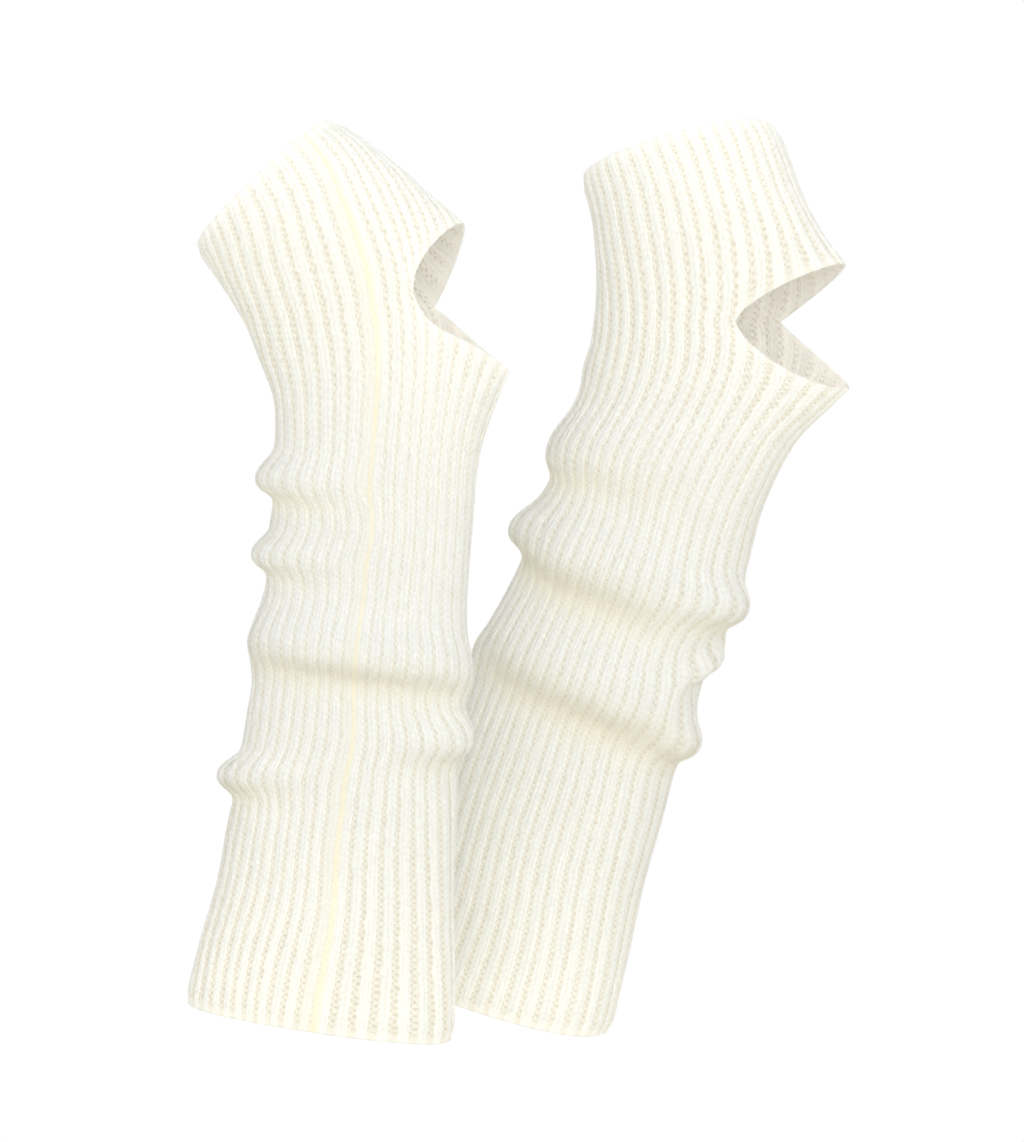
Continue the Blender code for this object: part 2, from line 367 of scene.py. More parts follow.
def fold_push(mark, angle, folds):
    """How far the folds push the cloth out, and how far along the tube."""
    short, long = UNEVEN_LENGTHS
    out = UNEVEN * np.sin(mark / short + 2 * np.sin(angle)) * np.sin(2 * angle + mark / long)
    slide = np.zeros_like(angle)
    for fold in folds:
        share, along = fold_place(mark, angle, fold)
        side = np.where(along > 0, along / fold.above, along / SLOPE_BELOW)
        ridge = share * np.exp(-RIDGE_SHARPNESS * np.abs(side) ** RIDGE_FLATNESS)
        crease = share * CREASE_SHARE * np.exp(-CREASE_SHARPNESS * (along + CREASE_BELOW) ** 2)
        out += fold.height * (ridge - crease)
        slide += ridge * (ROUNDING * fold.half_length * side - FOLD_DROOP * fold.height)
    return out, slide


print("highest fold:", max(fold.height for fold in LEFT_FOLDS + RIGHT_FOLDS), "mm")

# %% [markdown]
# Rib knit gives sideways more than any other way. So a fold also draws the ribs round with it, towards
# the front or back edge that it is nearer to, and just under it they swing back a little. The angle
# runs the other way on the far side. Between the folds the ribs only wander by a fraction of a degree.

# %% Ribs drawn aside by the folds
SWAY_DEG = 6.0
SWAY_FOLD = 12
SWAY_WIDER_DEG = 22
SWAY_LENGTH = 1.3
SWING_BACK = 0.35
SWING_BACK_BELOW = 1.7
FAR_SIDE = -0.5
WANDER_DEG = 0.7
WANDER_LENGTH = 17


def rib_sway(mark, angle, folds):
    """How far round the tube the ribs are drawn aside, in radians."""
    sway = WANDER_DEG * np.sin(mark / WANDER_LENGTH + 3 * np.sin(angle + 1))
    for fold in folds:
        middle = np.radians(fold.middle_deg)
        apart = angle_apart(angle, middle)
        reach = np.clip(np.abs(apart) / np.radians(fold.half_deg + SWAY_WIDER_DEG), 0, 1)
        along = (mark - fold.along - fold.slant * apart) / (SWAY_LENGTH * fold.half_length)
        lean = np.exp(-(along**2)) - SWING_BACK * np.exp(-((along + SWING_BACK_BELOW) ** 2))
        strength = SWAY_DEG * min(fold.height / SWAY_FOLD, 1) * np.cos(middle)
        sway -= strength * np.cos(reach * np.pi / 2) ** 2 * lean * np.sign(np.sin(middle) - FAR_SIDE)
    return np.radians(sway)


near_side = np.radians(np.arange(181))
first_fold = LEFT_FOLDS[0]
sway = np.degrees(np.abs(rib_sway(first_fold.along, near_side, LEFT_FOLDS)).max())
print("the left warmer's first fold draws its ribs aside by", round(sway, 1), "degrees")

# %% [markdown]
# Light that bounces between the cream walls of a hollow comes out warmer than it went in. So the place
# under each large fold is noted here, from 0 to 1, and the material below paints it a warmer, darker
# cream: painted warm shade.

# %% Hollows under the folds
DEEP_FOLD = 14
HOLLOW_SHARPNESS = 1.3
HOLLOW_BELOW = 1.15


# The share of painted warm shade that the material gives each point under a fold.
def fold_hollow_shade(mark, angle, folds):
    """How deep in the hollow under a fold the cloth lies, from 0 to 1."""
    hollow = np.zeros_like(angle)
    for fold in folds:
        share, along = fold_place(mark, angle, fold)
        depth = min(fold.height / DEEP_FOLD, 1) ** 2 * share
        hollow += depth * np.exp(-HOLLOW_SHARPNESS * (along + HOLLOW_BELOW) ** 2)
    return np.clip(hollow, 0, 1)


under = first_fold.along - HOLLOW_BELOW * first_fold.half_length
print("depth of the hollow under that fold:", round(fold_hollow_shade(under, near_side, LEFT_FOLDS).max(), 2))

# %% [markdown]
# The lips of the slit get their bow as a push along the tube. It is nothing at the slit's corner and
# at the back of the heel, and steep by the corner, so that the slit ends round and not in a point.

# %% Bowed lips of the slit
def lip_bow(angle, near_bow, far_bow, lean):
    """How far a lip is pushed along the tube. A larger lean bows it most nearer its corner."""
    bow = np.where(angle_apart(angle, 0) > 0, near_bow, far_bow)
    corner = section_shape(np.radians(SLIT_HALF_DEG))[0]
    passed = np.clip((section_shape(angle)[0] - corner) / (1 - corner), 0, 1)
    highest = 0.5 / (0.5 + lean)
    return bow * np.sqrt(passed / highest) * ((1 - passed) / (1 - highest)) ** lean


bow = lip_bow(near_side, LEFT_SLIT.leg_near, LEFT_SLIT.leg_far, LEFT_SLIT.leg_lean)
print("the left leg's near lip bows by", round(np.abs(bow).max(), 1), "mm")

# %% [markdown]
# One ring of points goes round the tube at one level. Near the slit the level is bent towards the
# slit's corners, so that the leg's last ring and the foot's first ring meet across the instep and
# part behind it, just as the knitted tube does when the heel comes through.

# %% One ring of points
Ring = namedtuple("Ring", "row mark angle fade bows folds edge rim open hollow")


def ring_points(ring, slit, behind, out, lift=0.0):
    """Points of one ring, in millimetres: out is off the surface, lift is along the tube."""
    row = ring.row
    front = np.array([row.front_x, 0, row.front_z])
    back = np.array([row.back_x, 0, row.back_z])
    width = np.linalg.norm(back - front)
    along = np.array([front[2] - back[2], 0, back[0] - front[0]]) / width
    near = np.array([0, -1, 0])
    angle = ring.angle + (1 - ring.fade) * rib_sway(ring.mark, ring.angle, ring.folds)
    across, towards = section_shape(angle)
    # Across the section from front to back, bent towards the slit's corner.
    place = (1 + across) / 2
    corner_place = (1 + section_shape(np.radians(SLIT_HALF_DEG))[0]) / 2
    corner = np.array([slit.corner_x, 0, slit.corner_z])
    pull = ring.fade * (corner - front - corner_place * (back - front))
    bend = np.minimum(place / corner_place, (1 - place) / (1 - corner_place))
    line = front + np.outer(place, back - front) + np.outer(bend, pull)
    # Straight out of that squarer ellipse.
    side = back - front + pull / corner_place
    side /= np.linalg.norm(side)
    steep = SQUARER_POWER - 1
    out_side = (np.sign(across) * np.abs(across) ** steep / (width / 2))[:, None]
    out_near = (np.sign(towards) * np.abs(towards) ** steep / (row.depth / 2))[:, None]
    outward = (out_side * side + out_near * near) / np.hypot(out_side, out_near)
    # The folds, the depth from near to far, and the bow of the lip.
    fold, slide = (push * (1 - ring.fade) for push in fold_push(ring.mark, angle, ring.folds))
    depth = towards * row.depth / 2 + slit.heel_nearer * across - behind
    rise = ring.fade * lip_bow(angle, *ring.bows) + towards * row.near_rise + lift
    points = line + np.outer(depth, near) + (out + fold)[:, None] * outward
    points += np.outer(rise + slide, along)
    points[:, 0] -= slit.near_left * towards
    points[:, 2] += ring.fade * slit.near_up * towards
    return points


print("a ring has", COLUMNS, "points outside and", COLUMNS // 2, "inside")

# %% [markdown]
# Each garment is now one value: its name, its two tables of sections, its folds, its slit, how far it
# stands behind the left one, and how its ribs are crowded at the cuff and at the ankle.

# %% The two garments
LEFT_CROWDING = (0.24, -0.2)

Warmer = namedtuple("Warmer", "name leg foot folds slit behind crowding")
LEFT_WARMER = Warmer(
    "left_warmer", LEFT_LEG, LEFT_FOOT, LEFT_FOLDS + LEFT_CREASES, LEFT_SLIT, 0, LEFT_CROWDING
)
RIGHT_WARMER = Warmer(
    "right_warmer",
    RIGHT_LEG,
    RIGHT_FOOT,
    RIGHT_FOLDS + RIGHT_CREASES,
    RIGHT_SLIT,
    RIGHT_WARMER_BEHIND,
    (0, 0),
)
print("the right warmer stands", RIGHT_WARMER.behind, "mm behind the left one")

# %% [markdown]
# Every ring knows where it is, how far the slit pulls on it, how near it is to a knitted edge, and
# how far its girth has opened the ribs. The cuff and the foot opening are edges all the way round. The
# slit's lips are edges only behind its corners, because across the instep the cloth runs on. At the
# middle of the tube the ribs seen at its sides are opened more than the ones in front.

# %% The rings of one tube
EDGE_REACH = 3.5
RIM_REACH = 5
OPEN_PITCH = 6.9
OPEN_RANGE = 2.4
CROWDING_TURN = 330
SIDES_OPEN = 0.45
SIDES_MIDDLE = 190
SIDES_LENGTH = 110


def tube_rings(warmer, sections, is_leg):
    """Two rings to each row of stitches, from the tube's low end to its high end."""
    table = np.array(sections, dtype=float)
    length = section_marks(table)[-1]
    marks = np.linspace(0, length, 2 * round(length / ROW_OF_STITCHES) + 1)
    slit = warmer.slit
    if is_leg:
        bows = (slit.leg_near, slit.leg_far, slit.leg_lean)
    else:
        bows = (slit.foot_near, slit.foot_far, FOOT_LIP_LEAN)
    reach = LEG_SLIT_REACH if is_leg else FOOT_SLIT_REACH
    folds = warmer.folds if is_leg else []
    rings = []
    for mark, row in zip(marks, sections_at(table, marks)):
        from_slit = length - mark if is_leg else mark
        from_rim = mark if is_leg else length - mark
        from_cuff = mark if is_leg else mark + section_marks(np.array(warmer.leg, dtype=float))[-1]
        crowding = np.interp(from_cuff, [0, CROWDING_TURN], warmer.crowding)
        sides = SIDES_OPEN * np.exp(-(((from_cuff - SIDES_MIDDLE) / SIDES_LENGTH) ** 2))
        angle, girth = column_angles(row, crowding, sides)
        cut = np.abs(angle_apart(angle, 0)) < np.radians(SLIT_HALF_DEG)
        edge = np.maximum(
            np.exp(-((from_rim / EDGE_REACH) ** 2)), cut * np.exp(-((from_slit / EDGE_REACH) ** 2))
        )
        rim = np.exp(-((from_rim / RIM_REACH) ** 2))
        fade = max(0, 1 - from_slit / reach) ** 2
        opened = np.clip((girth / RIBS_ROUND - OPEN_PITCH) / OPEN_RANGE, 0, 1)
        hollow = fold_hollow_shade(mark, angle, folds)
        rings.append(Ring(row, mark, angle, fade, bows, folds, edge, rim, opened, hollow))
    return rings


print("rings on the left leg:", len(tube_rings(LEFT_WARMER, LEFT_LEG, True)))

# %% [markdown]
# The cloth has two sides. The outer side has every ring, the inner side every third ring and every
# second point, because only its ribs show, through the slit and the open ends. A small round bead
# joins the two at each edge, because a knitted edge rolls over and is thicker than the cloth. So one
# walk goes up the outside, over the edge, down the inside and over the other edge.

# %% Both sides of the cloth and its rolled edges
BEAD_DEG = (58, 0, -58)
BEAD_RADIUS = 1.05
INNER_RINGS = 3

Side = namedtuple("Side", "points u v edge open inside hollow")


def cloth_rows(warmer, rings, first_row):
    """Rows of points in the order of the walk, and where in it the two sides end."""
    place = (warmer.slit, warmer.behind)
    u = np.arange(COLUMNS) / POINTS_PER_RIB
    last = len(rings) - 1

    def outer(i):
        ring = rings[i]
        points = ring_points(ring, *place, knit_relief(i, ring))
        return Side(points, u, first_row + i / 2, ring.edge, ring.open, 0, ring.hollow)

    def bead(i, turn, end_sign):
        ring = rings[i]
        middle = knit_relief(i, ring) - CLOTH_THICKNESS / 2
        out = middle + BEAD_RADIUS * np.sin(np.radians(turn))
        lift = end_sign * BEAD_RADIUS * np.cos(np.radians(turn))
        points = ring_points(ring, *place, out, lift)
        row_of_stitches = first_row + i / 2 + lift / ROW_OF_STITCHES
        return Side(points, u, row_of_stitches, ring.edge, ring.open, 0, 0)

    def inner(i):
        ring = rings[i]
        smooth = (knit_relief(0, ring) + knit_relief(1, ring)) / 2
        points = ring_points(ring, *place, smooth - CLOTH_THICKNESS)[::2]
        return Side(points, u[::2], first_row + i / 2, ring.edge[::2], ring.open, 1, 0)

    inside = sorted({*range(0, last, INNER_RINGS), last}, reverse=True)
    walk = [outer(i) for i in range(last + 1)]
    walk += [bead(last, turn, 1) for turn in BEAD_DEG]
    walk += [inner(i) for i in inside]
    walk += [bead(0, turn, -1) for turn in reversed(BEAD_DEG)]
    return walk, last, last + len(BEAD_DEG) + 1


walk = cloth_rows(LEFT_WARMER, tube_rings(LEFT_WARMER, LEFT_LEG, True), 0)[0]
print("rows of points on the left leg:", len(walk), "of which inside:", sum(row.inside for row in walk))

# %% [markdown]
# Rows that follow each other are filled with faces. Where a row of 280 points meets a row of 140, each
# pair of outer spans shares one inner span in three triangles. Every face also notes where it lies in
# the knit, in ribs round and rows of stitches along, which the material reads as its UV map.


# %% Faces between two rows
def strip(first, second, first_ids, second_ids, spans):
    """Faces and their UVs between two rows, only for the given spans of the coarser row."""
    few = min(len(first_ids), len(second_ids))
    big, small = len(first_ids) // few, len(second_ids) // few
    rib = few / RIBS_ROUND
    faces, uvs = [], []

    def corner(ids, row, each, k, extra=0):
        at = k * each + extra
        return ids[at % len(ids)], (at / each / rib, row.v)

    def add(*corners):
        faces.append([c[0] for c in corners])
        uvs.extend(c[1] for c in corners)

    for k in spans:
        a, b = corner(first_ids, first, big, k), corner(first_ids, first, big, k + 1)
        c, d = corner(second_ids, second, small, k + 1), corner(second_ids, second, small, k)
        if big == small:
            add(a, b, c, d)
        elif big > small:
            middle = corner(first_ids, first, big, k, 1)
            add(a, middle, d)
            add(middle, c, d)
            add(middle, b, c)
        else:
            middle = corner(second_ids, second, small, k, 1)
            add(a, middle, d)
            add(a, b, middle)
            add(b, c, middle)
    return faces, uvs


print("faces between an outer and an inner row:", 3 * COLUMNS // 2)

# %% [markdown]
# Faces name their points by number, so the rows of the walk are numbered one after the other. Between
# the rows of a lip only the columns behind the slit's corners get faces.

# %% Numbers of the points and faces along the walk
def slit_columns(rings):
    """The even columns just outside the slit, which its corners lie on."""
    behind = np.flatnonzero(np.abs(angle_apart(rings[-1].angle, 0)) < np.radians(SLIT_HALF_DEG))
    return behind[0] - 2 + behind[0] % 2, behind[-1] + 2 - behind[-1] % 2


def number_rows(walk, first_id):
    """The number of each point in the mesh, one array to a row of the walk."""
    ids = []
    for row in walk:
        ids.append(np.arange(first_id, first_id + len(row.points)))
        first_id += len(row.points)
    return ids


def wall_faces(walk, ids, low, high, slit_rows):
    """Faces all round the walk; between slit rows only the spans behind the corners have any."""
    faces, uvs = [], []
    for i in range(len(walk)):
        j = (i + 1) % len(walk)
        few = min(len(ids[i]), len(ids[j]))
        each = COLUMNS // few
        spans = range(low // each, high // each) if i in slit_rows else range(few)
        more_faces, more_uvs = strip(walk[i], walk[j], ids[i], ids[j], spans)
        faces += more_faces
        uvs += more_uvs
    return faces, uvs


def fuse(points, ids, others):
    """Moves pairs of points to their middle and returns how far apart they were at most."""
    apart = np.linalg.norm(points[ids] - points[others], axis=1).max()
    points[ids] = points[others] = (points[ids] + points[others]) / 2
    return apart


print("points on the left leg:", number_rows(walk, 0)[-1][-1] + 1)


# %% [markdown]
# The leg tube and the foot tube are one knitted piece. Across the instep their rows of points are the
# same, so those are fused into one, and no edge or bead is made there. At each corner of the slit the
# two beads run into each other and end.

# %% The leg and the foot knitted together
def knit_warmer(warmer):
    """One warmer's points, faces and UVs, with the numbers of the points that are kept."""
    leg_rings = tube_rings(warmer, warmer.leg, True)
    foot_rings = tube_rings(warmer, warmer.foot, False)
    leg, leg_top, leg_in = cloth_rows(warmer, leg_rings, 0)
    foot = cloth_rows(warmer, foot_rings, (len(leg_rings) - 1) / 2)[0]
    low, high = slit_columns(leg_rings)
    leg_ids = number_rows(leg, 0)
    foot_ids = number_rows(foot, leg_ids[-1][-1] + 1)
    beads = len(BEAD_DEG)
    leg_slit = range(leg_top, leg_in)
    foot_slit = range(len(foot) - beads - 1, len(foot))
    faces, uvs = wall_faces(leg, leg_ids, low, high, leg_slit)
    more_faces, more_uvs = wall_faces(foot, foot_ids, low, high, foot_slit)
    faces += more_faces
    uvs += more_uvs

    points = np.concatenate([row.points for row in leg + foot])
    on_instep = np.concatenate([np.arange(0, low + 1), np.arange(high, COLUMNS)])
    inner_instep = on_instep[on_instep % 2 == 0] // 2
    same = [(leg_ids[leg_top][on_instep], foot_ids[0][on_instep])]
    same.append((leg_ids[leg_in][inner_instep], foot_ids[-beads - 1][inner_instep]))
    apart = max(fuse(points, *pair) for pair in same)
    corners = np.array([low, high])
    for k in range(beads):
        pair = (leg_ids[leg_top + 1 + k][corners], foot_ids[-1 - k][corners])
        share = (k + 1) / (beads + 1)
        outer, inner = points[leg_ids[leg_top][corners]], points[leg_ids[leg_in][corners // 2]]
        points[pair[0]] = points[pair[1]] = outer * (1 - share) + inner * share
        same.append(pair)
    keep = np.arange(len(points))
    for ids, others in same:
        keep[others] = ids
    print(warmer.name, "slit from column", low, "to", high, "rows meet within", round(apart, 3), "mm")
    return points, faces, uvs, keep, leg + foot


print("columns at the left slit's corners:", *slit_columns(tube_rings(LEFT_WARMER, LEFT_LEG, True)))

# %% [markdown]
# The material has to know where in the knit it is, so the mesh carries a few values from 0 to 1 at its
# points: how much of the seam's colour shows, where the groove beside the seam is, how far the ribs
# are opened, how near an edge is, how deep in a hollow the cloth lies, for painted shade, and which
# side is inside, for painted light.

# %% Values that the material reads off the mesh
SEAM_TINT = 0.35
SEAM_ENDS = (0.1, 0.9)
GROOVE_REACH = 0.15
HOLLOW_SHADE_TINT = 0.75
INSIDE_LIGHT_TINT = 0.85


def groove_share(row):
    """1 in the groove beside the seam, and nothing a third of a rib away from it."""
    ribs_away = np.minimum(row.u, RIBS_ROUND - row.u)
    return np.exp(-((ribs_away / GROOVE_REACH) ** 2))


def seam_share(row):
    """How much of the seam's colour shows: a part on its strip, all of it in the groove."""
    on_seam = (row.u > SEAM_ENDS[0]) & (row.u < SEAM_ENDS[1])
    return np.maximum(SEAM_TINT * on_seam, groove_share(row))


POINT_VALUES = {
    "seam": seam_share,
    "groove": groove_share,
    "open": lambda row: row.open,
    "edge": lambda row: row.edge,
    # The hollow value carries painted warm shade under the folds.
    "hollow": lambda row: HOLLOW_SHADE_TINT * row.hollow,
    # The inside value carries a lighter cream on the inner side: painted light.
    "inside": lambda row: INSIDE_LIGHT_TINT * row.inside,
}
print("seam's colour across the first rib:", seam_share(walk[0])[:POINTS_PER_RIB].round(2))

# %% [markdown]
# Colours are given as sRGB hex values. Shaders work in linear light, so one function turns the one
# into the other. Another adds a node, sets what it is told, and links what is already a socket, which
# keeps the material below readable from top to bottom.

# %% Colours and nodes
def linear(hex_colour):
    """Red, green, blue and alpha in linear light."""
    shares = [int(hex_colour[i : i + 2], 16) / 255 for i in (1, 3, 5)]
    light = [s / 12.92 if s <= 0.04045 else ((s + 0.055) / 1.055) ** 2.4 for s in shares]
    return (*light, 1.0)


def add_node(tree, kind, inputs=None, **settings):
    """A new node with its settings made, its values set and its sockets linked."""
    node = tree.nodes.new(kind)
    for name, value in settings.items():
        setattr(node, name, value)
    for key, value in (inputs or {}).items():
        if isinstance(value, bpy.types.NodeSocket):
            tree.links.new(value, node.inputs[key])
        else:
            node.inputs[key].default_value = value
    return node


CREAM = linear("#F8FAF7")
print("cream in linear light:", [round(c, 3) for c in CREAM])

# %% [markdown]
# The yarn is a soft bulky acrylic and cotton blend in cream. It is dull, with a short fuzz that
# catches light at a glancing angle, which a little sheen gives. Light goes a few millimetres into the
# cloth and through it, so the valleys look cream and the inside of the tubes isn't dark. Its own colour
# changes only a little. Of the hex values below, the beige of the valleys, holes and hollows is painted
# shade, and the lighter cream of the inside is painted light.

# %% Cream rib knit and its colours
# Painted shade for the valleys and between the loops.
VALLEY_PAINTED_SHADE = linear("#ECE9DD")
# A lighter cream for the inner side: painted light, standing in for light that comes through the knit.
INNER_PAINTED_LIGHT = linear("#FFFBF2")
# Painted shade for the holes beside the purl stitches.
HOLE_PAINTED_SHADE = linear("#CDC5AE")
# Painted warm shade for the hollows under the folds.
HOLLOW_PAINTED_SHADE = linear("#F8F3E0")
SEAM_CREAM = linear("#F8F5E6")
GROOVE_YELLOW = linear("#F7F2DA")

rib_knit = bpy.data.materials.new("cream acrylic cotton rib knit")
rib_knit.use_nodes = True
tree = rib_knit.node_tree
shader = tree.nodes["Principled BSDF"]
print("holes are at", round(HOLE_PAINTED_SHADE[0] / CREAM[0], 2), "of the cream's red")

# %% [markdown]
# The knit's own pattern is drawn from its UV map, where 1 across is one rib and 1 along is one row of
# stitches. A slow noise, 4 mm to a blotch, makes the stitches stray a little from their columns, as
# spun yarn does.

# %% Where each point lies in the knit
STITCH_STRAY = 4 * MM
STRAY_ACROSS = 0.22
STRAY_ALONG = 0.6

knit = add_node(tree, "ShaderNodeUVMap", uv_map="knit")
in_metres = add_node(tree, "ShaderNodeTexCoord")
stray = {"Vector": in_metres.outputs["Object"], "Scale": 1 / STITCH_STRAY, "Detail": 1.0}
stray = add_node(tree, "ShaderNodeTexNoise", stray)
stray = {0: stray.outputs["Color"], 1: (0.5, 0.5, 0.5)}
stray = add_node(tree, "ShaderNodeVectorMath", stray, operation="SUBTRACT")
place = {0: stray.outputs[0], 1: (STRAY_ACROSS, STRAY_ALONG, 0), 2: knit.outputs[0]}
place = add_node(tree, "ShaderNodeVectorMath", place, operation="MULTIPLY_ADD")
place = add_node(tree, "ShaderNodeSeparateXYZ", {0: place.outputs[0]})
seam, groove, opened, edge, hollow, inside = (
    add_node(tree, "ShaderNodeAttribute", attribute_name=name) for name in POINT_VALUES
)
print("stitches stray by up to", STRAY_ALONG / 2 * ROW_OF_STITCHES, "mm along their column")

# %% [markdown]
# Cosines of the place across and along give every part of the pattern: one turn of the angle for each
# rib, or for each row of stitches. One wave marks the valley, two mark the columns of holes on its
# sides, and one, three and a half times as fast, the strands of yarn on the rib.

# %% Waves across and along the knit
TURN = 2 * np.pi
VALLEY_AT = 0.0714
HOLE_AT = 0.16
OTHER_HOLE_AT = -0.02
STRAND_AT = 0.4286
STRANDS_TO_A_RIB = 3.5

rib_turn = {0: place.outputs[0], 1: TURN}
valley_turn, hole_turn, other_turn = (
    add_node(tree, "ShaderNodeMath", rib_turn | {2: -TURN * at}, operation="MULTIPLY_ADD")
    for at in (VALLEY_AT, HOLE_AT, OTHER_HOLE_AT)
)
strand_turn = rib_turn | {1: TURN * STRANDS_TO_A_RIB, 2: -TURN * STRANDS_TO_A_RIB * STRAND_AT}
strand_turn = add_node(tree, "ShaderNodeMath", strand_turn, operation="MULTIPLY_ADD")
row_turn = add_node(tree, "ShaderNodeMath", {0: place.outputs[1], 1: TURN}, operation="MULTIPLY")
valley_wave, hole_wave, other_wave, strand_wave, row_wave = (
    add_node(tree, "ShaderNodeMath", {0: turn.outputs[0]}, operation="COSINE")
    for turn in (valley_turn, hole_turn, other_turn, strand_turn, row_turn)
)
print("the two columns of holes are", round(HOLE_AT - OTHER_HOLE_AT, 2), "of a rib apart")

# %% [markdown]
# A valley of purl stitches isn't one dark line. Each stitch leaves a small hole on either side of it,
# and the two columns of holes lie half a row apart, so together they make a fine zigzag. They show
# most where the tube is wide and its ribs are open. The seam and the rolled edges have none. The holes
# are painted a darker beige: painted shade in them.

# %% Valleys and their holes
VALLEY_WAVES = (0.05, 0.6)
HOLE_WAVES = (0.95, 1.1)
ROW_SHARE = 0.15
HOLES_CLOSED = 0.2
HOLES_OPEN = 0.42

valley = {"Value": valley_wave.outputs[0], "From Min": VALLEY_WAVES[0], "From Max": VALLEY_WAVES[1]}
valley = add_node(tree, "ShaderNodeMapRange", valley, interpolation_type="SMOOTHSTEP")
plain = {0: seam.outputs["Fac"], 1: edge.outputs["Fac"]}
plain = add_node(tree, "ShaderNodeMath", plain, operation="MAXIMUM")
knitted = {0: 1.0, 1: plain.outputs[0]}
knitted = add_node(tree, "ShaderNodeMath", knitted, operation="SUBTRACT", use_clamp=True)
row_part = {0: row_wave.outputs[0], 1: -ROW_SHARE}
row_part = add_node(tree, "ShaderNodeMath", row_part, operation="MULTIPLY")
near_hole = {0: hole_wave.outputs[0], 1: row_part.outputs[0]}
near_hole = add_node(tree, "ShaderNodeMath", near_hole, operation="ADD")
near_other = {0: other_wave.outputs[0], 1: row_part.outputs[0]}
near_other = add_node(tree, "ShaderNodeMath", near_other, operation="SUBTRACT")
near_hole = {0: near_hole.outputs[0], 1: near_other.outputs[0]}
near_hole = add_node(tree, "ShaderNodeMath", near_hole, operation="MAXIMUM")
hole = {"Value": near_hole.outputs[0], "From Min": HOLE_WAVES[0], "From Max": HOLE_WAVES[1]}
hole = add_node(tree, "ShaderNodeMapRange", hole, interpolation_type="SMOOTHSTEP")
hole = {0: hole.outputs[0], 1: knitted.outputs[0]}
hole = add_node(tree, "ShaderNodeMath", hole, operation="MULTIPLY")
hole_shown = {"Value": opened.outputs["Fac"], "To Min": HOLES_CLOSED, "To Max": HOLES_OPEN}
hole_shown = add_node(tree, "ShaderNodeMapRange", hole_shown)
hole_seen = {0: hole.outputs[0], 1: hole_shown.outputs[0]}
hole_seen = add_node(tree, "ShaderNodeMath", hole_seen, operation="MULTIPLY")
print("a hole shows by", HOLES_CLOSED, "where the ribs are closed and", HOLES_OPEN, "where open")

# %% [markdown]
# A knit stitch is a V, so every strand of the rib leans, and so do the purl bars in the valley. The
# rib wave added to the row's angle gives that lean. These loops, the holes and a fuzz of fibres 1.1 mm
# long are finer than the mesh, so they are a bump of 0.8 mm at most. Real fibres are finer still, but
# would not show at this distance.

# %% Loops and fuzz as a bump
LOOP_LEAN = 1.6
LOOP_SHARE = 0.45
HOLE_DEPTH = 1.6
FUZZ_SHARE = 1.2
FIBRE_LENGTH = 0.0011
STITCH_BUMP = 0.0008
BUMP_STRENGTH = 0.42

lean = {0: valley_wave.outputs[0], 1: LOOP_LEAN, 2: row_turn.outputs[0]}
lean = add_node(tree, "ShaderNodeMath", lean, operation="MULTIPLY_ADD")
loop_wave = add_node(tree, "ShaderNodeMath", {0: lean.outputs[0]}, operation="COSINE")
loops = {0: loop_wave.outputs[0], 1: LOOP_SHARE, 2: strand_wave.outputs[0]}
loops = add_node(tree, "ShaderNodeMath", loops, operation="MULTIPLY_ADD")
stitches = {0: hole.outputs[0], 1: -HOLE_DEPTH, 2: loops.outputs[0]}
stitches = add_node(tree, "ShaderNodeMath", stitches, operation="MULTIPLY_ADD")
stitches = {0: stitches.outputs[0], 1: knitted.outputs[0]}
stitches = add_node(tree, "ShaderNodeMath", stitches, operation="MULTIPLY")
fuzz = {"Vector": in_metres.outputs["Object"], "Scale": 1 / FIBRE_LENGTH, "Detail": 3.0}
fuzz = add_node(tree, "ShaderNodeTexNoise", fuzz)
height = {0: fuzz.outputs[0], 1: FUZZ_SHARE, 2: stitches.outputs[0]}
height = add_node(tree, "ShaderNodeMath", height, operation="MULTIPLY_ADD")
bump = {"Height": height.outputs[0], "Distance": STITCH_BUMP, "Strength": BUMP_STRENGTH}
bump = add_node(tree, "ShaderNodeBump", bump)
print("bump:", STITCH_BUMP / MM, "mm at a strength of", BUMP_STRENGTH)

# %% [markdown]
# The colour starts as cream and is painted a little darker and beiger in the valleys and between the
# loops, as painted shade, more so where the ribs are open. Over that go painted warm shade in the
# hollows under the folds, the seam and its yellower groove, painted light on the inside, and last
# painted shade in the holes.

# %% Colour over the knit
VALLEYS_CLOSED = 0.36
VALLEYS_OPEN = 0.58
LOOP_HEIGHTS = (1.4, -1.4)
BETWEEN_LOOPS_SHADE = 0.65

valley_shown = {"Value": opened.outputs["Fac"], "To Min": VALLEYS_CLOSED, "To Max": VALLEYS_OPEN}
valley_shown = add_node(tree, "ShaderNodeMapRange", valley_shown)
between = {"Value": height.outputs[0], "From Min": LOOP_HEIGHTS[0], "From Max": LOOP_HEIGHTS[1]}
between = add_node(tree, "ShaderNodeMapRange", between | {"To Max": BETWEEN_LOOPS_SHADE})
shade = {0: valley.outputs[0], 1: valley_shown.outputs[0], 2: between.outputs[0]}
shade = add_node(tree, "ShaderNodeMath", shade, operation="MULTIPLY_ADD", use_clamp=True)
colour = {0: shade.outputs[0], 6: CREAM, 7: VALLEY_PAINTED_SHADE}
colour = add_node(tree, "ShaderNodeMix", colour, data_type="RGBA")
for share, tint in (
    (hollow.outputs["Fac"], HOLLOW_PAINTED_SHADE),
    (seam.outputs["Fac"], SEAM_CREAM),
    (groove.outputs["Fac"], GROOVE_YELLOW),
    (inside.outputs["Fac"], INNER_PAINTED_LIGHT),
    (hole_seen.outputs[0], HOLE_PAINTED_SHADE),
):
    colour = add_node(tree, "ShaderNodeMix", {0: share, 6: colour.outputs[2], 7: tint}, data_type="RGBA")
tree.links.new(colour.outputs[2], shader.inputs["Base Color"])
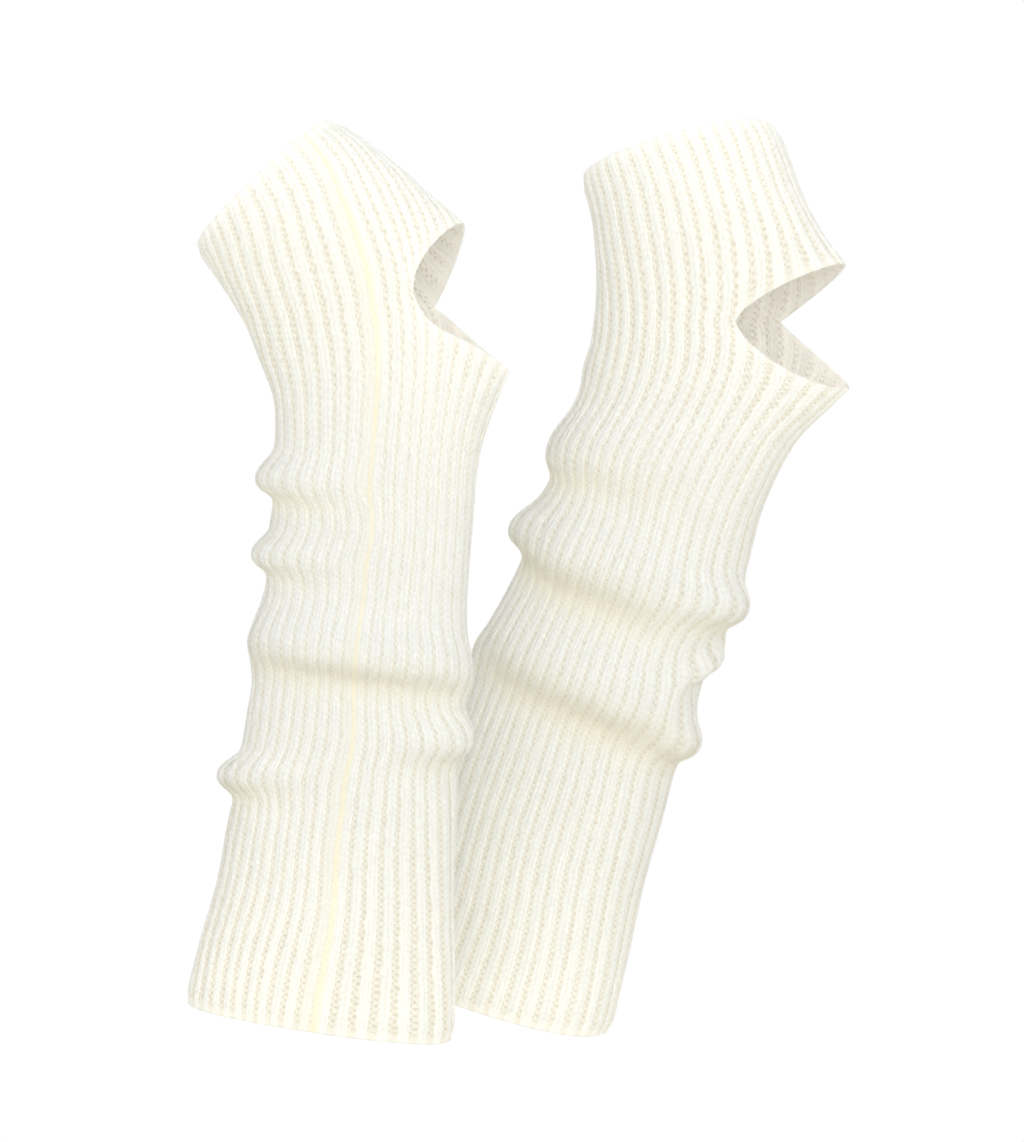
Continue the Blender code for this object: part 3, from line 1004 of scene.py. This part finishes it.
tree.links.new(bump.outputs[0], shader.inputs["Normal"])
print(rib_knit.name, "has", len(tree.nodes), "nodes")

# %% [markdown]
# Spun yarn hardly shines, because its fibres point every way: it is rough, with a weak highlight and a
# faint sheen. Light goes far enough into it to pass through the cloth, about as easily in every colour.

# %% The yarn's dull, soft finish
shader.inputs["Roughness"].default_value = 0.9
shader.inputs["Specular IOR Level"].default_value = 0.2
shader.subsurface_method = "BURLEY"
shader.inputs["Subsurface Weight"].default_value = 0.8
shader.inputs["Subsurface Radius"].default_value = (1.0, 1.0, 1.0)
shader.inputs["Subsurface Scale"].default_value = 0.0065
shader.inputs["Sheen Weight"].default_value = 0.1
shader.inputs["Sheen Roughness"].default_value = 0.5
print("light goes", round(shader.inputs["Subsurface Scale"].default_value / MM, 1), "mm into the cloth")

# %% [markdown]
# Now the shells are made as meshes, one for each warmer. Each stands for the two solids of its
# garment, which it hides, takes the cream rib knit as its finish and rides with the whole part, which
# has no joints.

# %% Both warmers
def field(rows, value):
    """One value at every point, in the order of the rows."""
    return np.concatenate([np.broadcast_to(value(row), len(row.points)) for row in rows])


def build_warmer(warmer, material):
    """The finished cloth of one warmer, with the points that no face uses left out."""
    points, faces, uvs, keep, rows = knit_warmer(warmer)
    corners = keep[np.concatenate([np.array(face) for face in faces])]
    sizes = np.array([len(face) for face in faces])
    used, corners = np.unique(corners, return_inverse=True)
    ends = np.cumsum(sizes)
    faces = np.split(corners, ends[:-1])
    mesh = bpy.data.meshes.new(warmer.name)
    mesh.from_pydata(points[used] * MM, [], faces)
    mesh.uv_layers.new(name="knit").data.foreach_set("uv", np.array(uvs, dtype=np.float32).ravel())
    for name, value in POINT_VALUES.items():
        layer = mesh.attributes.new(name, "FLOAT", "POINT")
        layer.data.foreach_set("value", field(rows, value)[used].astype(np.float32))
    mesh.shade_smooth()
    mesh.materials.append(material)
    cloth = bpy.data.objects.new(warmer.name, mesh)
    bpy.context.scene.collection.objects.link(cloth)
    closed = 2 * len(mesh.edges) == len(corners)
    print(warmer.name, "triangles:", int((sizes - 2).sum()), "closed:", closed)
    return cloth


left_warmer = build_warmer(LEFT_WARMER, rib_knit)
right_warmer = build_warmer(RIGHT_WARMER, rib_knit)
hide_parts("left_leg", "left_foot")
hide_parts("right_leg", "right_foot")
for warmer in (left_warmer, right_warmer):
    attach(warmer, "root")

# %% [markdown]
# Each warmer was cut as one sheet and closed with the lengthwise seam. The sheet is a little narrower
# than the tube is round and a little shorter than its middle line, because the leg stretches it. Here
# only the area of its cloth as worn is worked out.

# %% Cloth area as worn
for warmer in (left_warmer, right_warmer):
    area = sum(face.area for face in warmer.data.polygons) / 2
    print(warmer.name, "has", round(area, 3), "square metres of cloth as worn")

# %% [markdown]
# A pale floor in warm white lies well below the picture. It doesn't show, but it sends a soft light up
# under the folds.

# %% Floor
FLOOR_BELOW = 0.75
FLOOR_MIDDLE = 0.086
FLOOR_HALF = 3

studio_floor = bpy.data.materials.new("warm white studio floor")
studio_floor.use_nodes = True
floor_shader = studio_floor.node_tree.nodes["Principled BSDF"]
floor_shader.inputs["Base Color"].default_value = linear("#F4EFE1")
floor_shader.inputs["Roughness"].default_value = 0.8

floor_mesh = bpy.data.meshes.new("floor")
floor_corners = [(x * FLOOR_HALF, y * FLOOR_HALF, 0) for x, y in ((-1, -1), (1, -1), (1, 1), (-1, 1))]
floor_mesh.from_pydata(floor_corners, [], [(0, 1, 2, 3)])
floor_mesh.materials.append(studio_floor)
floor = bpy.data.objects.new("floor", floor_mesh)
floor.location = (FLOOR_MIDDLE, 0, -FLOOR_BELOW)
bpy.context.scene.collection.objects.link(floor)

# %% [markdown]
# Cream cloth on white has almost no outline, so a product studio hangs grey flags on both sides of a
# narrow white backdrop. The backdrop makes the picture's white, and the flags darken the cloth where
# it turns away. The room on the camera's side is white too, but dimmer on the left. The world's
# brightness gives backdrop, flags and room by direction.

# %% Backdrop, flags and room
ROOM_LEFT = 0.78
ROOM_RIGHT = 0.93
FLAG_LIGHT = 0.6
FLAGS_FROM, FLAGS_FULL = -0.4, 0.3
BACKDROP_LIGHT = 1.01
BACKDROP_FROM, BACKDROP_FULL = 0.9, 0.97

world = bpy.data.worlds.new("white backdrop and dim room")
world.use_nodes = True
sky = world.node_tree
direction = add_node(sky, "ShaderNodeTexCoord")
direction = add_node(sky, "ShaderNodeSeparateXYZ", {0: direction.outputs["Generated"]})
room = {"Value": direction.outputs[0], "From Min": -1.0, "To Min": ROOM_LEFT, "To Max": ROOM_RIGHT}
room = add_node(sky, "ShaderNodeMapRange", room)
flags = {"Value": direction.outputs[1], "From Min": FLAGS_FROM, "From Max": FLAGS_FULL}
flags |= {"To Min": room.outputs[0], "To Max": FLAG_LIGHT}
flags = add_node(sky, "ShaderNodeMapRange", flags)
backdrop = {"Value": direction.outputs[1], "From Min": BACKDROP_FROM, "From Max": BACKDROP_FULL}
backdrop |= {"To Min": flags.outputs[0], "To Max": BACKDROP_LIGHT}
backdrop = add_node(sky, "ShaderNodeMapRange", backdrop)
sky.links.new(backdrop.outputs[0], sky.nodes["Background"].inputs["Strength"])
sky.nodes["Background"].inputs["Color"].default_value = (1, 1, 1, 1)
bpy.context.scene.world = world
print("world:", world.name)

# %% [markdown]
# One large softbox stands above the camera and to its right, and is turned to the pair. It leaves the
# left sides and the undersides of the folds a little darker, and its size keeps every shadow soft. The
# image is developed without a film curve, so cream stays cream.

# %% Key light
SOFTBOX_WIDE = 1.2
SOFTBOX_HIGH = 1.6
SOFTBOX_WATTS = 21
SOFTBOX_AT = (0.7, -3.2, 1.0)
SOFTBOX_TILT_DEG = 74
SOFTBOX_TURN_DEG = 10.8

key_data = bpy.data.lights.new("large softbox", "AREA")
key_data.shape = "RECTANGLE"
key_data.size = SOFTBOX_WIDE
key_data.size_y = SOFTBOX_HIGH
key_data.energy = SOFTBOX_WATTS
key = bpy.data.objects.new("large softbox", key_data)
key.location = SOFTBOX_AT
key.rotation_euler = (np.radians(SOFTBOX_TILT_DEG), 0, np.radians(SOFTBOX_TURN_DEG))
bpy.context.scene.collection.objects.link(key)
bpy.context.scene.view_settings.view_transform = "Standard"
print("light:", key.name, "of", key_data.energy, "W")
